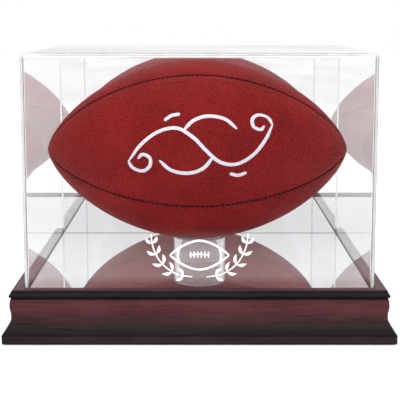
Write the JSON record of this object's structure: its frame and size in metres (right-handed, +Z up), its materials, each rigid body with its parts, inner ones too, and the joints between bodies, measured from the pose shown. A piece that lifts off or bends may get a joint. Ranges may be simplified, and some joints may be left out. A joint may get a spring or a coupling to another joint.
{
  "type": "football display case",
  "caption": "Football display case: a moulded dark wooden base with a mirror floor and clear ring stand, a laced leather football, and a clear acrylic cover with a mirrored back.",
  "frame": {"origin": "middle of the case's footprint, on the plane its felt pads rest on", "axes": "+X right along the football, -Y out of the front, +Z up"},
  "size_m": [0.332, 0.274, 0.2435],
  "materials": {
    "mahogany": "satin",
    "fibreboard": "matte",
    "softwood": "matte",
    "screw_steel": "satin",
    "felt": "matte",
    "tape_foam": "matte",
    "mirror_backing": "matte",
    "mirror": "polished",
    "clear_acrylic": "polished",
    "ball_leather": "satin",
    "lining_cloth": "matte",
    "bladder_rubber": "matte",
    "valve_rubber": "matte",
    "lace": "matte"
  },
  "bodies": {
    "base": {"base_moulding_front": "mahogany", "base_moulding_right": "mahogany", "base_moulding_back": "mahogany", "base_moulding_left": "mahogany", "base_board": "fibreboard", "corner_blocks": "softwood", "corner_block_screws": "screw_steel", "felt_pads": "felt", "mirror_tape_strips": "tape_foam", "mirror_film": "mirror_backing", "mirror_sheet": "mirror", "ring_stand": "clear_acrylic"},
    "cover": {"clear_cover": "clear_acrylic", "back_mirror_sheet": "mirror", "back_mirror_tapes": "tape_foam"},
    "ball": {"ball_panel_front": "ball_leather", "ball_panel_top": "ball_leather", "ball_panel_back": "ball_leather", "ball_panel_bottom": "ball_leather", "ball_lining_front": "lining_cloth", "ball_lining_top": "lining_cloth", "ball_lining_back": "lining_cloth", "ball_lining_bottom": "lining_cloth", "ball_bladder": "bladder_rubber", "ball_valve": "valve_rubber", "ball_lace_strand": "lace", "ball_lace_bars": "lace"}
  },
  "joints": [
    {"name": "cover_lift", "type": "slide", "parent": "base", "child": "cover", "axis": [0, 0, 1], "range_m": [0, 0.25]},
    {"name": "ball_turn", "type": "hinge", "parent": "base", "child": "ball", "pos_m": [-0.002, 0, 0.14851], "axis": [1, 0, 0], "range_deg": [-80, 180]}
  ]
}
